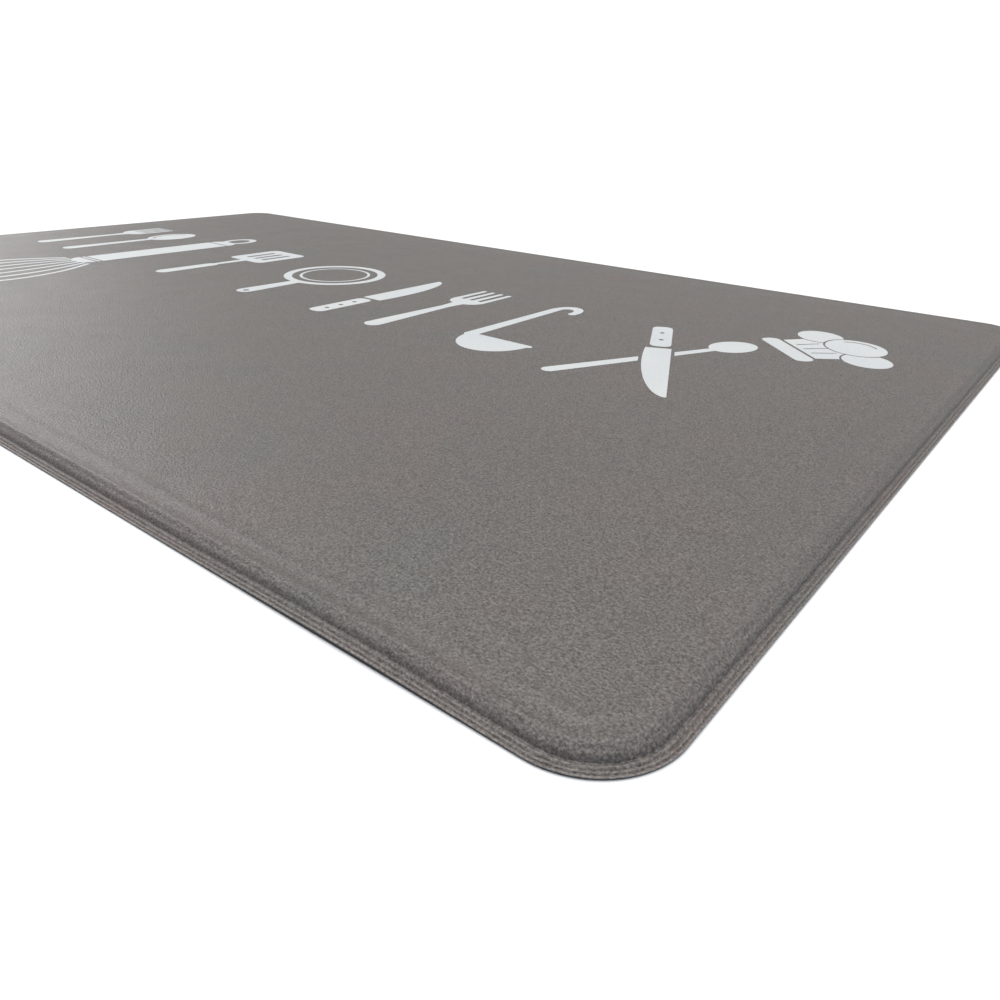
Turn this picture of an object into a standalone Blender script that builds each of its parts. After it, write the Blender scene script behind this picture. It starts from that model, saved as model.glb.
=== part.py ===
"""Cushioned anti-fatigue floor mat, as a laminate of three separate layers.

top_cover          embossed leather-look sheet, heat-pressed into a shallow tray with a ribbed rim
foam_core          cushion slab that fills the tray
bottom_grip_sheet  thin dark non-slip sheet that closes the tray and lies on the floor

Metres, +Z up. The origin is the middle of the underside, +X runs along the long side and +Y
points at the back edge. Every layer is a stack of rounded-rectangle loops. A loop is given by
its inset from the mat's outline and its height, so one list of (inset, height) pairs is the
cross-section of a layer.
"""

import math

import bmesh
import bpy

# Driving dimensions
LENGTH = 0.700
DEPTH = 0.440
THICKNESS = 0.004
CORNER_RADIUS = 0.022

# Layers
SHEET_THICKNESS = 0.00035
SHEET_INSET = 0.0002
COVER_THICKNESS = 0.0006
CLEARANCE = 0.0003

# Pressed rim, as (inset, height) from the outer edge inwards: a lip, a narrow rib and a broad rib
RIM_SECTION = (
    (0.0000, 0.00085),
    (0.0001, 0.00095),
    (0.0006, 0.00082),
    (0.0011, 0.00105),
    (0.0017, 0.00085),
    (0.0023, 0.00112),
    (0.0028, 0.00114),
    (0.0032, 0.00106),
)

# Padded edge inside the rim: a short steep wall, a bead, a shoulder and the swell up to the flat top.
# The loops shrink about the corners' centres, so no layer goes further in than CORNER_RADIUS.
EDGE_SECTION = (
    (0.0035, 0.0015),
    (0.0038, 0.0020),
    (0.0042, 0.0023),
    (0.0048, 0.00245),
    (0.0054, 0.0028),
    (0.0060, 0.0031),
    (0.0068, 0.0033),
    (0.0090, 0.0034),
    (0.0120, 0.0035),
    (0.0160, 0.0038),
    (0.0200, THICKNESS),
)

CORNER_STEPS = 12


def rounded_rectangle(inset, height):
    """Points of the mat's outline moved inwards, counter-clockwise from above."""
    radius = CORNER_RADIUS - inset
    centre_x = LENGTH / 2 - CORNER_RADIUS
    centre_y = DEPTH / 2 - CORNER_RADIUS
    points = []
    for quarter, (side_x, side_y) in enumerate(((1, 1), (-1, 1), (-1, -1), (1, -1))):
        for step in range(CORNER_STEPS + 1):
            angle = math.pi / 2 * (quarter + step / CORNER_STEPS)
            x = side_x * centre_x + radius * math.cos(angle)
            y = side_y * centre_y + radius * math.sin(angle)
            points.append((x, y, height))
    return points


def moved_in(section, distance, lowest):
    """The section moved inwards and down by a distance, and no lower than a given height."""
    return [(inset + distance, max(height - distance, lowest)) for inset, height in section]


def cover_section():
    """Upper face from the middle outwards, down the rim's edge and back along the underside."""
    under_rim = SHEET_THICKNESS + CLEARANCE
    upper = RIM_SECTION + EDGE_SECTION
    inner = moved_in(RIM_SECTION[-1:] + EDGE_SECTION, COVER_THICKNESS, under_rim)
    return [*reversed(upper), (0, under_rim), *inner]


def foam_section():
    """The cushion under the cover, from the middle of its top outwards, with clearance all round."""
    bottom = SHEET_THICKNESS + CLEARANCE
    sides = moved_in(EDGE_SECTION, COVER_THICKNESS + CLEARANCE, bottom)
    sides = [(inset, height) for inset, height in sides if height > bottom]
    return [*reversed(sides), (sides[0][0], bottom)]


def sheet_section():
    return [(SHEET_INSET, SHEET_THICKNESS), (SHEET_INSET, 0)]


def material(name, colour, roughness):
    made = bpy.data.materials.new(name)
    made.use_nodes = True
    shader = made.node_tree.nodes["Principled BSDF"]
    shader.inputs["Base Color"].default_value = (*colour, 1)
    shader.inputs["Roughness"].default_value = roughness
    shader.inputs["Metallic"].default_value = 0
    made.diffuse_color = (*colour, 1)
    return made


def layer(name, section, finish):
    """One closed body: a ring of faces between neighbouring loops, and a flat face over each end."""
    mesh = bmesh.new()
    loops = [
        [mesh.verts.new(point) for point in rounded_rectangle(inset, height)]
        for inset, height in section
    ]
    count = len(loops[0])
    for above, below in zip(loops, loops[1:]):
        for i in range(count):
            j = (i + 1) % count
            mesh.faces.new((above[j], above[i], below[i], below[j]))
    mesh.faces.new(loops[0])
    mesh.faces.new(loops[-1][::-1])
    data = bpy.data.meshes.new(name)
    mesh.to_mesh(data)
    mesh.free()
    data.materials.append(finish)
    data.shade_smooth()
    data.set_sharp_from_angle(angle=math.radians(35))
    made = bpy.data.objects.new(name, data)
    bpy.context.collection.objects.link(made)
    return made


def main():
    for old in list(bpy.data.objects):
        bpy.data.objects.remove(old, do_unlink=True)
    layer("bottom_grip_sheet", sheet_section(), material("grip_sheet", (0.03, 0.03, 0.032), 0.7))
    layer("foam_core", foam_section(), material("foam", (0.42, 0.42, 0.4), 0.9))
    layer("top_cover", cover_section(), material("cover", (0.19, 0.18, 0.17), 0.5))


main()
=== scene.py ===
"""Looks of the anti-fatigue mat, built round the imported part.

The three layers of the part are each replaced by a finer piece: the pressed leatherette cover, the
foam core and the grip sheet with its studs. A fourth piece is the film of white ink on the cover, a
row of plain kitchen utensils and a cook's hat.

A layer is a stack of loops, one for each (inset, height) point of its cross-section. Its upper faces
also rise by soft shapes that depend on the place in plan.

Metres, +Z up, in the frame of the part: the origin is the middle of the underside, +X runs along
the long side and +Y points at the back edge.
"""

import math

import bmesh
import bpy
import numpy as np
from mathutils import Matrix, Vector
from mathutils.geometry import delaunay_2d_cdt


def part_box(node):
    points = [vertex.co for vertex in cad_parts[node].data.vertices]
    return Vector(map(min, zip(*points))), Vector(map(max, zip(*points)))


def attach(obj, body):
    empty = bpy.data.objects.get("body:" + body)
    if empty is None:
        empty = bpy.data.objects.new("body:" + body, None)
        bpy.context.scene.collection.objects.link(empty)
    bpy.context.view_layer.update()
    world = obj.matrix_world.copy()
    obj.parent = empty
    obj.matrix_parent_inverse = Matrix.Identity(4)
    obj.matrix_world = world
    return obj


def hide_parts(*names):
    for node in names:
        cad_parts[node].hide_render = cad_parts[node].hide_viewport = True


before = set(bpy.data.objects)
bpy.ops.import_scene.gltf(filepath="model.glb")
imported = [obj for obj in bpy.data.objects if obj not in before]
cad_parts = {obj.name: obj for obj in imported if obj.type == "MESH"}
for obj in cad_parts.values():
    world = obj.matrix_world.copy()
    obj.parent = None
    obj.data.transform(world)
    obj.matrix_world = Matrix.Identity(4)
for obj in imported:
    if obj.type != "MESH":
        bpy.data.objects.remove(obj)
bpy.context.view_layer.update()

MM = 0.001

# The part's outline and levels. No loop has its corners rounded more tightly than the inner radius.
_, COVER_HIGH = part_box("top_cover")
_, SHEET_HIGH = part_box("bottom_grip_sheet")
HALF_LENGTH = COVER_HIGH.x
HALF_DEPTH = COVER_HIGH.y
SHEET_TOP = SHEET_HIGH.z
CORNERS = ((1, 1), (-1, 1), (-1, -1), (1, -1))
CORNER_RADIUS = 22 * MM
INNER_CORNER_RADIUS = 8 * MM

# The layers
COVER_THICKNESS = 0.6 * MM
LAYER_GAP = 0.02 * MM
SHEET_INSET = 0.12 * MM
SHEET_BEVEL = 0.05 * MM
SHEET_LOWER_BEVEL = 0.02 * MM

# Cross-section of the pressed edge as (inset, height) in millimetres, from the lip inwards
LIP_AND_RIBS = (
    (0.08, 0.38),
    (0.01, 0.43),
    (0.00, 0.52),
    (0.05, 0.66),
    (0.38, 0.67),
    (0.58, 0.47),
    (0.72, 0.41),
    (0.88, 0.56),
    (1.06, 0.79),
    (1.26, 0.78),
    (1.48, 0.58),
    (1.70, 0.41),
    (1.86, 0.44),
    (2.10, 0.73),
    (2.40, 0.91),
    (2.72, 0.89),
    (2.98, 0.80),
)
PADDED_EDGE = (
    (3.18, 0.80),
    (3.31, 0.98),
    (3.45, 1.30),
    (3.61, 1.64),
    (3.81, 1.94),
    (4.09, 2.18),
    (4.44, 2.33),
    (4.80, 2.42),
    (5.15, 2.54),
    (5.50, 2.72),
    (5.90, 2.93),
    (6.30, 3.11),
    (6.75, 3.25),
    (7.30, 3.34),
    (8.00, 3.38),
    (9.00, 3.34),
    (10.20, 3.28),
    (11.40, 3.25),
    (12.80, 3.25),
    (14.40, 3.25),
    (16.20, 3.25),
)
FLAT_TOP = PADDED_EDGE[-1][1] * MM

# Spacing of the mesh. The corners of the innermost ring are centred this far from the long axis.
SAMPLES_PER_STATION = 3
LONG_SEGMENTS = 120
SHORT_SEGMENTS = 76
CORNER_SEGMENTS = 22
FLAT_RINGS = 16
FLAT_RING_GROWTH = 1.6
INNERMOST_CENTRE_Y = 1 * MM

# The rim is painted paler, as a painted highlight, up to this inset, and less over the fade. Its tops get the
# full painted highlight and its grooves a share, between these levels, so the grooves stay darker as painted
# shade.
RIM_HIGHLIGHT_WIDTH = 1.5 * MM
RIM_HIGHLIGHT_FADE = 1.6 * MM
GROOVE_LEVEL = 0.42 * MM
RIB_LEVEL = 0.66 * MM
GROOVE_HIGHLIGHT_SHARE = 0.3

# Inside the padded edge the top swells up to the full thickness, sooner at the near edge
SWELL_HEIGHT = COVER_HIGH.z - FLAT_TOP
SWELL_START = 9.5 * MM
SWELL_WIDTH_NEAR = 6.5 * MM
SWELL_WIDTH = 14 * MM

# Two soft ridges run inside the rim along the near edge and round its corners, as (height, inset,
# width). They end at this distance from the near edge, after which they fade out.
RIDGES = (
    (0.45 * MM, 6.0 * MM, 1.5 * MM),
    (0.46 * MM, 12.4 * MM, 2.3 * MM),
)
RIDGE_END = 22 * MM
RIDGE_FADE = 20 * MM

# The padded edge is a little fuller round the corners. That reaches further along the long edges.
CORNER_FILL = 0.28 * MM
CORNER_FILL_INSET = 5.4 * MM
CORNER_FILL_WIDTH = 0.95 * MM
CORNER_REACH_X = 95 * MM
CORNER_REACH_Y = 40 * MM

# The near edge stands a little off the floor, most of all at this place along it and at this inset
LIFT_HEIGHT = 1.2 * MM
LIFT_CENTRE = 280 * MM
LIFT_WIDTH_LEFT = 52 * MM
LIFT_WIDTH_RIGHT = 34 * MM
LIFT_INSET = 3.8 * MM
LIFT_REACH = 4.8 * MM

# Studs under the grip sheet
STUD_PITCH = 12 * MM
STUD_RADIUS = 2.2 * MM
STUD_HEIGHT = 0.14 * MM
STUD_MARGIN = 16 * MM
STUD_SIDES = 8
STUD_SHARP_ANGLE = 40
STUD_SECTION = (
    (STUD_RADIUS, 1.5 * STUD_HEIGHT),
    (STUD_RADIUS, 0.5 * STUD_HEIGHT),
    (0.7 * STUD_RADIUS, 0),
)


# ---- Cross-sections and soft shapes ----


def curve_through(stations, steps):
    """Centripetal Catmull-Rom curve through the stations, as points in the same unit."""
    knots = [np.array(p, float) for p in stations]
    knots = [2 * knots[0] - knots[1], *knots, 2 * knots[-1] - knots[-2]]
    points = []
    for a, b, c, d in zip(knots, knots[1:], knots[2:], knots[3:]):
        t = np.cumsum([0, *(math.sqrt(np.linalg.norm(q - p)) for p, q in ((a, b), (b, c), (c, d)))])
        for u in np.linspace(t[1], t[2], steps, endpoint=False):
            ab = ((t[1] - u) * a + (u - t[0]) * b) / (t[1] - t[0])
            bc = ((t[2] - u) * b + (u - t[1]) * c) / (t[2] - t[1])
            cd = ((t[3] - u) * c + (u - t[2]) * d) / (t[3] - t[2])
            abc = ((t[2] - u) * ab + (u - t[0]) * bc) / (t[2] - t[0])
            bcd = ((t[3] - u) * bc + (u - t[1]) * cd) / (t[3] - t[1])
            points.append(((t[2] - u) * abc + (u - t[1]) * bcd) / (t[2] - t[1]))
    points.append(knots[-2])
    return points


def smooth_section(stations):
    """The curve through stations given in millimetres, as (inset, height) in metres."""
    curve = curve_through(stations, SAMPLES_PER_STATION)
    return [(float(inset) * MM, float(height) * MM) for inset, height in curve]


def offset_inwards(section, distance, lowest):
    """The section moved square to itself towards the underside, and no lower than a given height."""
    moved = []
    for i, (inset, height) in enumerate(section):
        before = section[max(i - 1, 0)]
        after = section[min(i + 1, len(section) - 1)]
        run, rise = after[0] - before[0], after[1] - before[1]
        length = math.hypot(run, rise)
        point = (inset + distance * rise / length, height - distance * run / length)
        if not moved or point[0] > moved[-1][0]:
            moved.append((point[0], max(point[1], lowest)))
    return moved


def smooth_step(value, start, width):
    """0 up to the start, 1 past the width, and an S curve between them."""
    step = min(max((value - start) / width, 0), 1)
    return step * step * (3 - 2 * step)


def lift(x, y):
    """How far the mat stands off the floor at a point of the plan."""
    width = LIFT_WIDTH_LEFT if x < LIFT_CENTRE else LIFT_WIDTH_RIGHT
    along = math.exp(-(((x - LIFT_CENTRE) / width) ** 2))
    inwards = math.exp(-(((y + HALF_DEPTH - LIFT_INSET) / LIFT_REACH) ** 2))
    return LIFT_HEIGHT * along * inwards


def swell(x, y):
    """How far the top rises above the level at the end of the padded edge."""
    share = 1.0
    for inset, width in (
        (y + HALF_DEPTH, SWELL_WIDTH_NEAR),
        (HALF_DEPTH - y, SWELL_WIDTH),
        (x + HALF_LENGTH, SWELL_WIDTH),
        (HALF_LENGTH - x, SWELL_WIDTH),
    ):
        share *= 1 - math.exp(-((max(inset - SWELL_START, 0) / width) ** 2))
    return SWELL_HEIGHT * share


def ridges(inset, y):
    """How far the soft ridges rise at an inset, for a point of the plan."""
    near = 1 - smooth_step(y + HALF_DEPTH, RIDGE_END, RIDGE_FADE)
    rises = (height * math.exp(-(((inset - place) / width) ** 2)) for height, place, width in RIDGES)
    return near * sum(rises)


def corner_fill(inset, x, y):
    """How much fuller the padded edge is round the corners at an inset, for a point of the plan."""
    across = (inset - CORNER_FILL_INSET) / CORNER_FILL_WIDTH
    along_x = (HALF_LENGTH - abs(x)) / CORNER_REACH_X
    along_y = (HALF_DEPTH - abs(y)) / CORNER_REACH_Y
    return CORNER_FILL * math.exp(-(across ** 2) - along_x ** 2 - along_y ** 2)


def rim_highlight_share(inset, height):
    """How much painted highlight the cover gets, from 0 on the padded edge to 1 on the tops of the rim."""
    on_rim = 1 - smooth_step(inset, RIM_HIGHLIGHT_WIDTH, RIM_HIGHLIGHT_FADE)
    on_top = smooth_step(height, GROOVE_LEVEL, RIB_LEVEL - GROOVE_LEVEL)
    return on_rim * (GROOVE_HIGHLIGHT_SHARE + (1 - GROOVE_HIGHLIGHT_SHARE) * on_top)


def final_height(inset, height, x, y):
    """Height of a point of a layer in place: on the floor, lifted, or on an upper face also shaped."""
    # Where the edge lifts, the points low on the grip sheet stay on the floor, so its dark side fills the gap
    # under the lifted edge in place of the shadow there: a dark sheet as painted shadow
    if height < SHEET_TOP / 2:
        return height
    shape = 0
    if height > FLAT_TOP / 2:
        shape = swell(x, y) + ridges(inset, y) + corner_fill(inset, x, y)
    return height + lift(x, y) + shape


def outline(inset):
    """Points of the mat's outline moved inwards, counter-clockwise from above."""
    radius = max(CORNER_RADIUS - inset, INNER_CORNER_RADIUS)
    centre_x = HALF_LENGTH - inset - radius
    centre_y = HALF_DEPTH - inset - radius
    points = []
    for quarter, (side_x, side_y) in enumerate(CORNERS):
        for step in range(CORNER_SEGMENTS + 1):
            angle = math.pi / 2 * (quarter + step / CORNER_SEGMENTS)
            x = side_x * centre_x + radius * math.cos(angle)
            y = side_y * centre_y + radius * math.sin(angle)
            points.append((x, y))
        next_x, next_y = CORNERS[(quarter + 1) % 4]
        angle = math.pi / 2 * (quarter + 1)
        start = points[-1]
        end = (next_x * centre_x + radius * math.cos(angle), next_y * centre_y + radius * math.sin(angle))
        count = LONG_SEGMENTS if quarter % 2 == 0 else SHORT_SEGMENTS
        for step in range(1, count):
            share = step / count
            points.append((start[0] + (end[0] - start[0]) * share, start[1] + (end[1] - start[1]) * share))
    return points


def flat_rings(start, height):
    """Rings that carry a flat face from an inset to the middle of the mat, wider and wider apart."""
    last = HALF_DEPTH - INNER_CORNER_RADIUS - INNERMOST_CENTRE_Y
    return [
        (start + (last - start) * (ring / FLAT_RINGS) ** FLAT_RING_GROWTH, height)
        for ring in range(1, FLAT_RINGS + 1)
    ]


# ---- The layers ----


def linked_object(name, mesh):
    """An object in the scene from a bmesh, which is freed."""
    data = bpy.data.meshes.new(name)
    mesh.to_mesh(data)
    mesh.free()
    made = bpy.data.objects.new(name, data)
    bpy.context.scene.collection.objects.link(made)
    return made


def skin(mesh, loops):
    """A ring of faces between neighbouring loops of vertices, and a face over each end."""
    count = len(loops[0])
    for above, below in zip(loops, loops[1:]):
        for i in range(count):
            j = (i + 1) % count
            mesh.faces.new((above[j], above[i], below[i], below[j]))
    mesh.faces.new(loops[0])
    mesh.faces.new(loops[-1][::-1])


def closed_body(name, section):
    """A closed body from the loops of a section."""
    mesh = bmesh.new()
    loops = [
        [mesh.verts.new((x, y, final_height(inset, height, x, y))) for x, y in outline(inset)]
        for inset, height in section
    ]
    skin(mesh, loops)
    count = len(loops[0])
    piece = linked_object(name, mesh)
    # Painted highlight: how much paler the rim is painted at each point, most on its rib tops
    rim_highlight = [rim_highlight_share(inset, height) for inset, height in section for _ in range(count)]
    piece.data.attributes.new("rim_highlight", "FLOAT", "POINT").data.foreach_set("value", rim_highlight)
    piece.data.shade_smooth()
    return piece


def cover_piece():
    upper = smooth_section(LIP_AND_RIBS + PADDED_EDGE)
    under_rim = SHEET_TOP + LAYER_GAP
    inner = offset_inwards(smooth_section(PADDED_EDGE), COVER_THICKNESS, under_rim)
    top = flat_rings(*upper[-1])
    ceiling = flat_rings(*inner[-1])
    section = [*reversed(top), *reversed(upper), (upper[0][0], under_rim), *inner, *ceiling]
    return closed_body("leatherette_cover", section)


def foam_piece():
    bottom = SHEET_TOP + LAYER_GAP
    side = offset_inwards(smooth_section(PADDED_EDGE), COVER_THICKNESS + LAYER_GAP, bottom)
    top = flat_rings(*side[-1])
    underside = flat_rings(side[0][0], bottom)
    return closed_body("cushion_core", [*reversed(top), *reversed(side), *underside])


def add_studs(mesh):
    """Low round studs in staggered rows under the grip sheet, each let into the sheet."""
    row_pitch = STUD_PITCH * math.sqrt(3) / 2
    rows = int((HALF_DEPTH - STUD_MARGIN) / row_pitch)
    columns = int((HALF_LENGTH - STUD_MARGIN) / STUD_PITCH)
    turn = 2 * math.pi / STUD_SIDES
    for row in range(-rows, rows + 1):
        y = row * row_pitch
        for column in range(-columns, columns + 1 - row % 2):
            x = (column + 0.5 * (row % 2)) * STUD_PITCH
            skin(mesh, [
                [
                    mesh.verts.new((x + radius * math.cos(turn * i), y + radius * math.sin(turn * i), z))
                    for i in range(STUD_SIDES)
                ]
                for radius, z in STUD_SECTION
            ])


def sheet_piece():
    edge = [
        (SHEET_INSET + SHEET_BEVEL, SHEET_TOP),
        (SHEET_INSET, SHEET_TOP - SHEET_BEVEL),
        (SHEET_INSET, STUD_HEIGHT + SHEET_LOWER_BEVEL),
        (SHEET_INSET + SHEET_BEVEL, STUD_HEIGHT),
    ]
    top = flat_rings(*edge[0])
    underside = flat_rings(*edge[-1])
    piece = closed_body("studded_grip_sheet", [*reversed(top), *edge, *underside])
    mesh = bmesh.new()
    mesh.from_mesh(piece.data)
    add_studs(mesh)
    mesh.to_mesh(piece.data)
    mesh.free()
    piece.data.shade_smooth()
    piece.data.set_sharp_from_angle(angle=math.radians(STUD_SHARP_ANGLE))
    return piece


# ---- The print ----

# A drawing is a function of x and y in its own frame, upright and in millimetres. It gives about the
# distance to the edge of the ink, negative inside it, on a grid of this step with a margin round it.
# Its outlines are filled with triangles inside the rim, and points within the merge distance are one.
PRINT_STEP = 0.5
PRINT_MARGIN = 2.0
PRINT_BASELINE = -35.0
OUTLINE_TOLERANCE = 0.015
INK_HALF_THICKNESS = 0.05 * MM
FILL_INSIDE = 1
MERGE_DISTANCE = 1e-6


def bar(x, y, start, end, start_radius, end_radius=None):
    """A straight stroke with round ends, tapering from one radius to the other."""
    end_radius = start_radius if end_radius is None else end_radius
    run, rise = end[0] - start[0], end[1] - start[1]
    share = np.clip(((x - start[0]) * run + (y - start[1]) * rise) / (run * run + rise * rise), 0, 1)
    distance = np.hypot(x - start[0] - share * run, y - start[1] - share * rise)
    return distance - (start_radius + (end_radius - start_radius) * share)


def oval(x, y, centre, radius_x, radius_y):
    scaled = np.hypot((x - centre[0]) / radius_x, (y - centre[1]) / radius_y)
    return (scaled - 1) * min(radius_x, radius_y)


def rounded_box(x, y, centre, half_x, half_y, radius):
    out_x = np.abs(x - centre[0]) - half_x + radius
    out_y = np.abs(y - centre[1]) - half_y + radius
    outside = np.hypot(np.maximum(out_x, 0), np.maximum(out_y, 0))
    return outside + np.minimum(np.maximum(out_x, out_y), 0) - radius


def together(*shapes):
    return np.minimum.reduce(shapes)


def within(*shapes):
    return np.maximum.reduce(shapes)


def without(shape, *cuts):
    return np.maximum.reduce([shape, *(-cut for cut in cuts)])


def line(distance, half_width):
    """The outline of a shape, as a stroke."""
    return np.abs(distance) - half_width


def turned(x, y, centre, degrees):
    """Coordinates in a frame that is turned anticlockwise about a point."""
    c, s = math.cos(math.radians(degrees)), math.sin(math.radians(degrees))
    return (x - centre[0]) * c + (y - centre[1]) * s, (y - centre[1]) * c - (x - centre[0]) * s


def fork(x, y):
    handle = together(bar(x, y, (0, 5), (0, 60), 5.0, 2.8), bar(x, y, (0, 60), (0, 72), 2.8, 4.0))
    root = within(oval(x, y, (0, 80), 11.4, 10), y - 82)
    tines = [bar(x, y, (side * 3.2, 80), (side * 3.2, 106.5), 1.9, 1.4) for side in (-3, -1, 1, 3)]
    return together(handle, root, *tines)


def spoon(x, y):
    bowl = oval(x, y, (0, 88), 13.5, 20)
    shine = within(line(oval(x, y, (0, 88), 9.0, 15), 0.7), x + 3)
    return together(bar(x, y, (0, 5), (0, 72), 5.0, 2.8), without(bowl, shine))


def knife(x, y):
    handle = rounded_box(x, y, (0, 21), 5.4, 20, 4)
    rivets = [oval(x, y, (0, height), 1.4, 1.4) for height in (11, 21, 31)]
    blade = within(oval(x, y, (-6, 60), 14.5, 49), -6 - x, 43.5 - y)
    return together(without(handle, *rivets), blade)


def turner(x, y):
    head = rounded_box(x, y, (0, 87), 18, 21, 5)
    slots = [bar(x, y, (side * 8.5, 77), (side * 8.5, 98), 1.7) for side in (-1, 0, 1)]
    handle = together(bar(x, y, (0, 5), (0, 40), 5.2, 4.4), bar(x, y, (0, 40), (0, 68), 2.4, 3.0))
    return together(handle, without(head, *slots))


def pan(x, y):
    disc = oval(x, y, (0, 76), 33, 33)
    rim = line(oval(x, y, (0, 76), 30.4, 30.4), 2.6)
    base = line(oval(x, y, (0, 76), 22, 22), 0.9)
    handle = without(bar(x, y, (0, 7), (0, 44), 5.6, 4.0), oval(x, y, (0, 7), 1.9, 1.9))
    return together(without(handle, disc), rim, base)


def ladle(x, y):
    bowl = within(oval(x, y, (6, 24), 19, 22), y - 24)
    brim = bar(x, y, (-13, 24), (25, 24), 1.8)
    handle = bar(x, y, (-11, 24), (-11, 98), 3.6, 2.8)
    hook = within(line(oval(x, y, (-4.5, 98), 6.5, 9), 2.4), 98 - y)
    tip = bar(x, y, (2, 98), (2, 95), 2.4)
    return together(bowl, brim, handle, hook, tip)


def crossed_pair(x, y):
    """A broad knife laid over a thin-handled spoon, crossed."""
    u, v = turned(x, y, (0, 54), 26)
    blade = within(oval(u, v, (5.5, -2), 13, 58), u - 5.5, v - 14)
    rivets = [oval(u, v, (0, height), 1.3, 1.3) for height in (30, 44)]
    over = together(blade, without(rounded_box(u, v, (0, 37), 5.2, 20, 4), *rivets))
    u, v = turned(x, y, (0, 54), -26)
    under = together(bar(u, v, (0, -58), (0, 34), 3.4, 2.2), oval(u, v, (0, 44), 9.5, 13))
    return together(over, without(under, over - 1.6))


def whisk(x, y):
    """A whisk that hangs head down: a ringed handle and a balloon of wires."""
    handle = rounded_box(x, y, (0, 43), 12, 62, 9)
    bands = [rounded_box(x, y, (0, height), 14, 0.8, 0.4) for height in (-9, -5.5, 94)]
    ring = line(oval(x, y, (0, 113), 8.5, 12), 2.0)
    wires = []
    for wire in range(-3, 4):
        spread = wire / 3 * 37
        points = [
            (spread * math.sin(math.pi * (0.12 + 0.88 * share)) ** 0.8, -18 - 125 * share)
            for share in np.linspace(0, 1, 22)
        ]
        wires += [bar(x, y, a, b, 1.35) for a, b in zip(points, points[1:])]
    return together(without(handle, *bands), ring, *wires)


def hat(x, y):
    """A cook's hat: a band, a pleated side and three puffs."""
    band = rounded_box(x, y, (0, 0), 21, 4.6, 4)
    side = within(np.abs(x) - 16 - 0.12 * y, y - 34, 6.2 - y)
    pleats = [
        bar(x, y, (pleat * 7.5, 9), (pleat * 8.5, top), 0.55, 0.45)
        for pleat, top in ((-1, 21), (0, 23), (1, 21))
    ]
    middle = oval(x, y, (0, 36), 15.5, 14)
    left = oval(x, y, (-22, 29), 12, 11)
    right = oval(x, y, (22, 29), 12, 11)
    puffs = together(without(left, middle - 0.9), middle, without(right, middle - 0.9))
    fold = within(line(oval(x, y, (0, 36), 11.5, 10), 0.5), x - 2, 36 - y)
    return together(band, without(side, *pleats, puffs - 0.9), without(puffs, fold))


# Each drawing with the X and Y of its origin, its turn in degrees, and the corners of its own frame
DRAWINGS = (
    (fork, -284, PRINT_BASELINE, 0, (-15, -2), (15, 112)),
    (spoon, -243, PRINT_BASELINE, 0, (-16, -2), (16, 112)),
    (whisk, -186, PRINT_BASELINE, 0, (-46, -150), (46, 130)),
    (turner, -113, PRINT_BASELINE, 0, (-22, -2), (22, 112)),
    (pan, -26, PRINT_BASELINE, 0, (-36, -2), (36, 112)),
    (knife, 43, PRINT_BASELINE, 0, (-10, -2), (12, 112)),
    (fork, 87, PRINT_BASELINE, 0, (-15, -2), (15, 112)),
    (ladle, 148, PRINT_BASELINE, 0, (-22, -2), (30, 112)),
    (crossed_pair, 226, PRINT_BASELINE, 0, (-42, -6), (42, 114)),
    (hat, 266, 74, -44, (-42, -8), (42, 58)),
)


def mixed_cells(inside):
    """True for each cell of the grid that has some corners inside and some outside."""
    count = inside[:-1, :-1].astype(int) + inside[1:, :-1] + inside[:-1, 1:] + inside[1:, 1:]
    return (count > 0) & (count < 4)


def outlines_of(field):
    """Closed loops round the negative part of a grid of values, in grid steps, with it on the left."""
    inside = field < 0
    crossing = {}
    after = {}
    for row, column in np.argwhere(mixed_cells(inside)):
        corners = ((row, column), (row, column + 1), (row + 1, column + 1), (row + 1, column))
        leaving, entering = [], []
        for side in range(4):
            start, end = corners[side], corners[(side + 1) % 4]
            if inside[start] == inside[end]:
                continue
            edge = (min(start, end), max(start, end))
            share = field[start] / (field[start] - field[end])
            crossing[edge] = tuple(a + (b - a) * share for a, b in zip(start, end))
            (leaving if inside[start] else entering).append((side, edge))
        for side, edge in leaving:
            after[edge] = min(entering, key=lambda other: (other[0] - side) % 4)[1]
    loops = []
    while after:
        first = edge = next(iter(after))
        loop = []
        while edge in after:
            row, column = crossing[edge]
            loop.append((column, row))
            edge = after.pop(edge)
        if edge == first:
            loops.append(loop)
    return loops


def thinned(loop, tolerance):
    """The loop without the points that lie on a straight run, to a tolerance."""
    points = np.array(loop)
    kept = [0]
    for i in range(2, len(points) + 1):
        start, end = points[kept[-1]], points[i % len(points)]
        between = points[kept[-1] + 1:i]
        run = end - start
        length = max(np.hypot(*run), 1e-9)
        off = np.abs((between[:, 0] - start[0]) * run[1] - (between[:, 1] - start[1]) * run[0]) / length
        if off.max() > tolerance:
            kept.append(i - 1)
    return points[kept]


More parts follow.
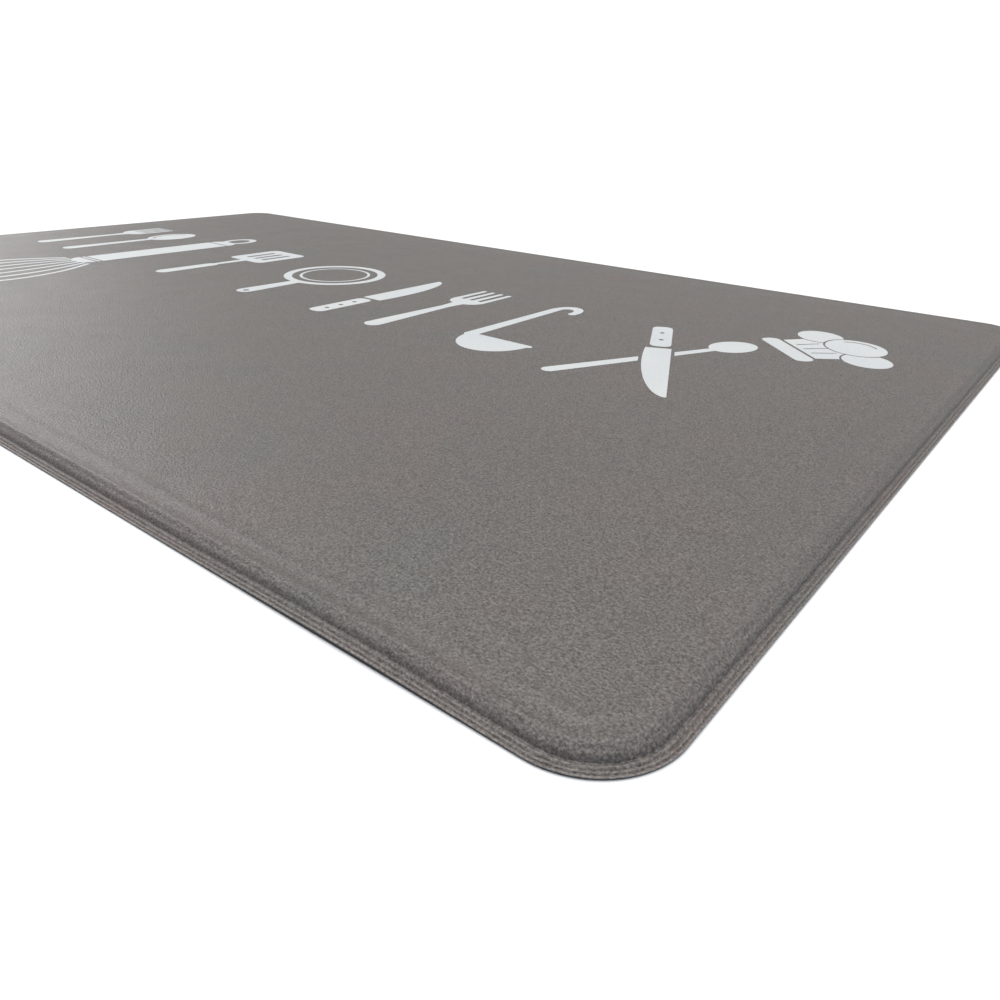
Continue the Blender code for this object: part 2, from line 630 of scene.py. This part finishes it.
def add_drawing(mesh, draw, place_x, place_y, degrees, low, high):
    """One drawing as a closed film: a filled face on top, one below it and walls between them."""
    xs = np.arange(low[0] - PRINT_MARGIN, high[0] + PRINT_MARGIN, PRINT_STEP)
    ys = np.arange(low[1] - PRINT_MARGIN, high[1] + PRINT_MARGIN, PRINT_STEP)
    field = draw(*np.meshgrid(xs, ys))
    loops = [thinned(loop, OUTLINE_TOLERANCE / PRINT_STEP) for loop in outlines_of(field)]
    loops = [loop for loop in loops if len(loop) > 2]
    local = np.concatenate(loops) * PRINT_STEP + (xs[0], ys[0])
    rim = []
    for loop in loops:
        start = len(rim)
        rim += [(start + i, start + (i + 1) % len(loop)) for i in range(len(loop))]
    corners = [Vector(point) for point in local]
    points, _, faces, *_ = delaunay_2d_cdt(corners, rim, [], FILL_INSIDE, MERGE_DISTANCE)
    assert len(points) == len(corners), "outlines of a drawing cross"
    c, s = math.cos(math.radians(degrees)), math.sin(math.radians(degrees))
    plan = [((place_x + x * c - y * s) * MM, (place_y + x * s + y * c) * MM) for x, y in points]
    levels = [FLAT_TOP + lift(x, y) + swell(x, y) for x, y in plan]
    upper = [mesh.verts.new((x, y, level + INK_HALF_THICKNESS)) for (x, y), level in zip(plan, levels)]
    lower = [mesh.verts.new((x, y, level - INK_HALF_THICKNESS)) for (x, y), level in zip(plan, levels)]
    for a, b in rim:
        mesh.faces.new((upper[a], lower[a], lower[b], upper[b]))
    for face in faces:
        middle = sum((points[i] for i in face), Vector((0, 0))) / 3
        if draw(np.array([middle.x]), np.array([middle.y]))[0] < 0:
            mesh.faces.new([upper[i] for i in face])
            mesh.faces.new([lower[i] for i in reversed(face)])


def print_piece():
    mesh = bmesh.new()
    for drawing in DRAWINGS:
        add_drawing(mesh, *drawing)
    return linked_object("printed_design", mesh)


# ---- Materials ----

# The embossed grain: flecks inside a net of creases, with fine pores on both. A push bends them all.
GRAIN_SIZE = 0.8 * MM
GRAIN_DEPTH = 0.15 * MM
CREASE_SIZE = 2.0 * MM
CREASE_WIDTH = 0.06
CREASE_SHARE = 0.25
PORE_SIZE = 0.25 * MM
PORE_SHARE = 0.35
PUSH_SIZE = 2.4 * MM
PUSH_REACH = 1.5 * MM

# The slow unevenness of the cover
RIPPLE_SIZE = 7 * MM
RIPPLE_DEPTH = 0.05 * MM
WAVE_SIZE = 75 * MM
WAVE_DEPTH = 0.5 * MM

# Colours, as pairs that a material drifts between
LEATHER_COLOURS = (0.127, 0.106, 0.0985), (0.114, 0.1085, 0.098)
INK_COLOURS = (0.595, 0.62, 0.63), (0.64, 0.65, 0.64)
RUBBER_COLOURS = (0.018, 0.018, 0.019), (0.035, 0.034, 0.033)
FOAM_COLOURS = (0.30, 0.30, 0.29), (0.46, 0.46, 0.44)
FLOOR_COLOUR = (0.9, 0.9, 0.9, 1)

SPECKLE_SIZE = 0.6 * MM
# How much paler the painted highlight makes the rim tops
RIM_HIGHLIGHT_SHADE = 1.55


class Recipe:
    """A node material, built a node at a time round its Principled shader."""

    def __init__(self, name):
        self.material = bpy.data.materials.new(name)
        self.material.use_nodes = True
        self.tree = self.material.node_tree
        self.shader = self.tree.nodes["Principled BSDF"]
        self.place = self.add("ShaderNodeTexCoord").outputs["Object"]

    def add(self, kind, inputs=(), **settings):
        """A node with these settings. Inputs are values, or sockets to link."""
        node = self.tree.nodes.new(kind)
        for name, value in settings.items():
            setattr(node, name, value)
        for name, value in dict(inputs).items():
            self.put(node.inputs[name], value)
        return node

    def put(self, socket, value):
        if isinstance(value, bpy.types.NodeSocket):
            self.tree.links.new(value, socket)
        else:
            socket.default_value = value

    def set(self, **values):
        for name, value in values.items():
            self.put(self.shader.inputs[name.replace("_", " ")], value)

    def math(self, operation, a, b=0.0, c=0.0):
        return self.add("ShaderNodeMath", {0: a, 1: b, 2: c}, operation=operation).outputs[0]

    def vector(self, operation, a, b):
        return self.add("ShaderNodeVectorMath", {0: a, 1: b}, operation=operation).outputs[0]

    def scaled(self, vector, factor):
        return self.add("ShaderNodeVectorMath", {0: vector, "Scale": factor}, operation="SCALE").outputs[0]

    def noise(self, size, detail=2.0, place=None, output="Fac"):
        """Noise from 0 to 1 with features of a size in metres."""
        settings = {"Vector": place or self.place, "Scale": 1 / size, "Detail": detail}
        return self.add("ShaderNodeTexNoise", settings).outputs[output]

    def spread(self, value, low, high, start=0.0, end=1.0):
        """The value from start to end, remapped to run from low to high."""
        limits = {"From Min": start, "From Max": end, "To Min": low, "To Max": high}
        return self.add("ShaderNodeMapRange", {"Value": value, **limits}).outputs[0]

    def drift(self, noise, colours):
        """A colour that drifts between a pair of colours over the middle of a noise's range."""
        return self.mixed(self.spread(noise, 0.0, 1.0, 0.3, 0.7), colours)

    def mixed(self, share, colours):
        """The first of a pair of colours where the share is 0, and the second where it is 1."""
        node = self.add("ShaderNodeMix", data_type="RGBA")
        self.put(node.inputs[0], share)
        for socket, colour in zip(node.inputs[6:8], colours):
            self.put(socket, (*colour, 1))
        return node.outputs[2]

    def bump(self, height):
        """Bump from a height in metres."""
        node = self.add("ShaderNodeBump", {"Height": height, "Strength": 1.0, "Distance": 1.0})
        self.set(Normal=node.outputs[0])


def leather_grain(recipe):
    """Height of the embossed grain in metres, and how raised each point is, from 0 to 1."""
    push = recipe.noise(PUSH_SIZE, output="Color")
    centred = recipe.vector("SUBTRACT", push, (0.5, 0.5, 0.5))
    place = recipe.vector("ADD", recipe.place, recipe.scaled(centred, PUSH_REACH))
    fleck = recipe.noise(GRAIN_SIZE, place=place)
    ridge = recipe.math("ABSOLUTE", recipe.math("SUBTRACT", recipe.noise(CREASE_SIZE, 1.0, place), 0.5))
    open_grain = recipe.spread(ridge, 0.0, 1.0, 0.0, CREASE_WIDTH)
    raised = recipe.math("MULTIPLY_ADD", open_grain, CREASE_SHARE, recipe.spread(fleck, 0.0, 0.75, 0.3, 0.7))
    pores = recipe.noise(PORE_SIZE)
    height = recipe.math("MULTIPLY", raised, GRAIN_DEPTH)
    height = recipe.math("MULTIPLY_ADD", pores, PORE_SHARE * GRAIN_DEPTH, height)
    height = recipe.math("MULTIPLY_ADD", recipe.noise(RIPPLE_SIZE), RIPPLE_DEPTH, height)
    height = recipe.math("MULTIPLY_ADD", recipe.noise(WAVE_SIZE, 1.0), WAVE_DEPTH, height)
    return height, raised


def leatherette():
    """Warm grey leatherette with a pale speckle, and a painted highlight on the rim."""
    recipe = Recipe("leatherette")
    height, raised = leather_grain(recipe)
    hue = recipe.drift(recipe.noise(48 * MM, 3.0), LEATHER_COLOURS)
    speckle = recipe.spread(recipe.noise(SPECKLE_SIZE), 0.52, 1.48, 0.32, 0.68)
    rim_highlight = recipe.add("ShaderNodeAttribute", attribute_name="rim_highlight").outputs["Fac"]
    # Painted shade: the grain is painted darker in its creases and paler where it is raised
    shade = recipe.math("MULTIPLY", speckle, recipe.spread(raised, 0.72, 1.22))
    # Painted highlight on the rim: paler on the rib tops than in the grooves
    shade = recipe.math("MULTIPLY", shade, recipe.spread(rim_highlight, 1.0, RIM_HIGHLIGHT_SHADE))
    roughness = recipe.spread(recipe.noise(18 * MM), 0.36, 0.46)
    recipe.set(Base_Color=recipe.scaled(hue, shade), Roughness=roughness)
    recipe.bump(height)
    return recipe.material


def white_ink():
    """Cool white ink that follows the grain of the cover under it."""
    recipe = Recipe("white_ink")
    height, raised = leather_grain(recipe)
    hue = recipe.drift(recipe.noise(30 * MM), INK_COLOURS)
    # Painted shade: the ink is painted a little darker in the creases of the grain
    colour = recipe.scaled(hue, recipe.spread(raised, 0.93, 1.03))
    recipe.set(Base_Color=colour, Roughness=recipe.spread(recipe.noise(12 * MM), 0.42, 0.5))
    recipe.bump(height)
    return recipe.material


def grip_rubber():
    recipe = Recipe("grip_rubber")
    dust = recipe.spread(recipe.noise(40 * MM, 4.0), 0.0, 1.0, 0.35, 0.75)
    roughness = recipe.spread(recipe.noise(6 * MM, 3.0), 0.6, 0.8)
    recipe.set(Base_Color=recipe.mixed(dust, RUBBER_COLOURS), Roughness=roughness)
    recipe.bump(recipe.math("MULTIPLY", recipe.noise(0.3 * MM, 3.0), 0.02 * MM))
    return recipe.material


def cell_foam():
    recipe = Recipe("cell_foam")
    settings = {"Vector": recipe.place, "Scale": 1 / (0.35 * MM)}
    cells = recipe.add("ShaderNodeTexVoronoi", settings).outputs[0]
    roughness = recipe.spread(recipe.noise(4 * MM), 0.85, 0.95)
    recipe.set(Base_Color=recipe.mixed(cells, FOAM_COLOURS), Roughness=roughness)
    recipe.bump(recipe.math("MULTIPLY", cells, 0.08 * MM))
    return recipe.material


def pale_floor():
    recipe = Recipe("pale_floor")
    recipe.set(Base_Color=FLOOR_COLOUR, Roughness=0.9, Specular_IOR_Level=0.2)
    return recipe.material


# ---- The pieces ----


def finished(piece, material, slot, *nodes):
    piece.data.materials.append(material)
    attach(piece, "root")
    if nodes:
        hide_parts(*nodes)
    return piece


cover = finished(cover_piece(), leatherette(), "cover_leatherette", "top_cover")
foam = finished(foam_piece(), cell_foam(), "cushion_foam", "foam_core")
sheet = finished(sheet_piece(), grip_rubber(), "grip_sheet", "bottom_grip_sheet")
design = finished(print_piece(), white_ink(), "print_ink")


# ---- The studio ----

FLOOR_SIZE = 40.0
FLOOR_LEVEL = -0.02 * MM

CAMERA_PLACE = (0.38888, -0.30594, 0.10408)
CAMERA_AZIMUTH = 38.006
CAMERA_ELEVATION = 26.425
CAMERA_ROLL = 1.632
CAMERA_LENS = 28.187
CAMERA_CLIP_START = 0.005

# Strength of the light from all round, and in the shade on the viewer's side. The shade is a cone
# round that direction, given by the cosines of the angles where it begins and where it is full.
ROOM_LIGHT = 0.48
VIEWER_SHADE = 0.02
SHADE_BEGINS = 0.45
SHADE_FULL = 0.95
SEEN_WHITE = 1.1


def camera():
    azimuth = math.radians(CAMERA_AZIMUTH)
    elevation = math.radians(CAMERA_ELEVATION)
    roll = math.radians(CAMERA_ROLL)
    ahead = Vector((
        -math.sin(azimuth) * math.cos(elevation),
        math.cos(azimuth) * math.cos(elevation),
        -math.sin(elevation),
    ))
    level_right = ahead.cross(Vector((0, 0, 1))).normalized()
    level_up = level_right.cross(ahead)
    right = level_right * math.cos(roll) + level_up * math.sin(roll)
    up = level_up * math.cos(roll) - level_right * math.sin(roll)
    turn = Matrix((right, up, -ahead)).transposed().to_4x4()
    data = bpy.data.cameras.new("camera")
    data.lens = CAMERA_LENS
    data.clip_start = CAMERA_CLIP_START
    made = bpy.data.objects.new("camera", data)
    made.matrix_world = Matrix.Translation(CAMERA_PLACE) @ turn
    bpy.context.scene.collection.objects.link(made)
    bpy.context.scene.camera = made


def floor():
    mesh = bmesh.new()
    bmesh.ops.create_grid(mesh, x_segments=1, y_segments=1, size=FLOOR_SIZE / 2)
    made = linked_object("floor", mesh)
    made.data.materials.append(pale_floor())
    made.location.z = FLOOR_LEVEL


def soft_sun(name, source, strength, spread, colour=(1, 1, 1), glossy=True):
    """Even light from a direction, as soft as its spread in degrees, with or without its reflection."""
    data = bpy.data.lights.new(name, "SUN")
    data.energy = strength
    data.angle = math.radians(spread)
    data.color = colour
    made = bpy.data.objects.new(name, data)
    made.rotation_euler = (-Vector(source)).to_track_quat("-Z", "Y").to_euler()
    made.visible_glossy = glossy
    bpy.context.scene.collection.objects.link(made)


def surroundings():
    """Even light all round, dimmer on the viewer's side. The camera itself sees plain white."""
    world = bpy.data.worlds.new("studio")
    bpy.context.scene.world = world
    world.use_nodes = True
    tree = world.node_tree
    place = tree.nodes.new("ShaderNodeTexCoord").outputs["Generated"]
    along = tree.nodes.new("ShaderNodeVectorMath")
    along.operation = "DOT_PRODUCT"
    azimuth = math.radians(CAMERA_AZIMUTH)
    along.inputs[1].default_value = (math.sin(azimuth), -math.cos(azimuth), 0.0)
    tree.links.new(place, along.inputs[0])
    ramp = tree.nodes.new("ShaderNodeMapRange")
    ramp.interpolation_type = "SMOOTHSTEP"
    ramp.inputs["From Min"].default_value = SHADE_BEGINS
    ramp.inputs["From Max"].default_value = SHADE_FULL
    ramp.inputs["To Min"].default_value = ROOM_LIGHT
    ramp.inputs["To Max"].default_value = VIEWER_SHADE
    tree.links.new(along.outputs["Value"], ramp.inputs["Value"])
    path = tree.nodes.new("ShaderNodeLightPath")
    seen = tree.nodes.new("ShaderNodeMix")
    seen.inputs["B"].default_value = SEEN_WHITE
    tree.links.new(path.outputs["Is Camera Ray"], seen.inputs["Factor"])
    tree.links.new(ramp.outputs[0], seen.inputs["A"])
    tree.links.new(seen.outputs[0], tree.nodes["Background"].inputs["Strength"])
    tree.nodes["Background"].inputs["Color"].default_value = (1, 1, 1, 1)


camera()
floor()
surroundings()
soft_sun("key", source=(-0.10, 0.10, 1.0), strength=2.4, spread=60)
soft_sun("side", source=(-0.972, 0.23, 0.42), strength=0.38, spread=17)
soft_sun("window", source=(1.0, -0.35, 0.25), strength=0.7, spread=30, colour=(0.42, 0.66, 1.0), glossy=False)
bpy.context.scene.view_settings.view_transform = "Standard"
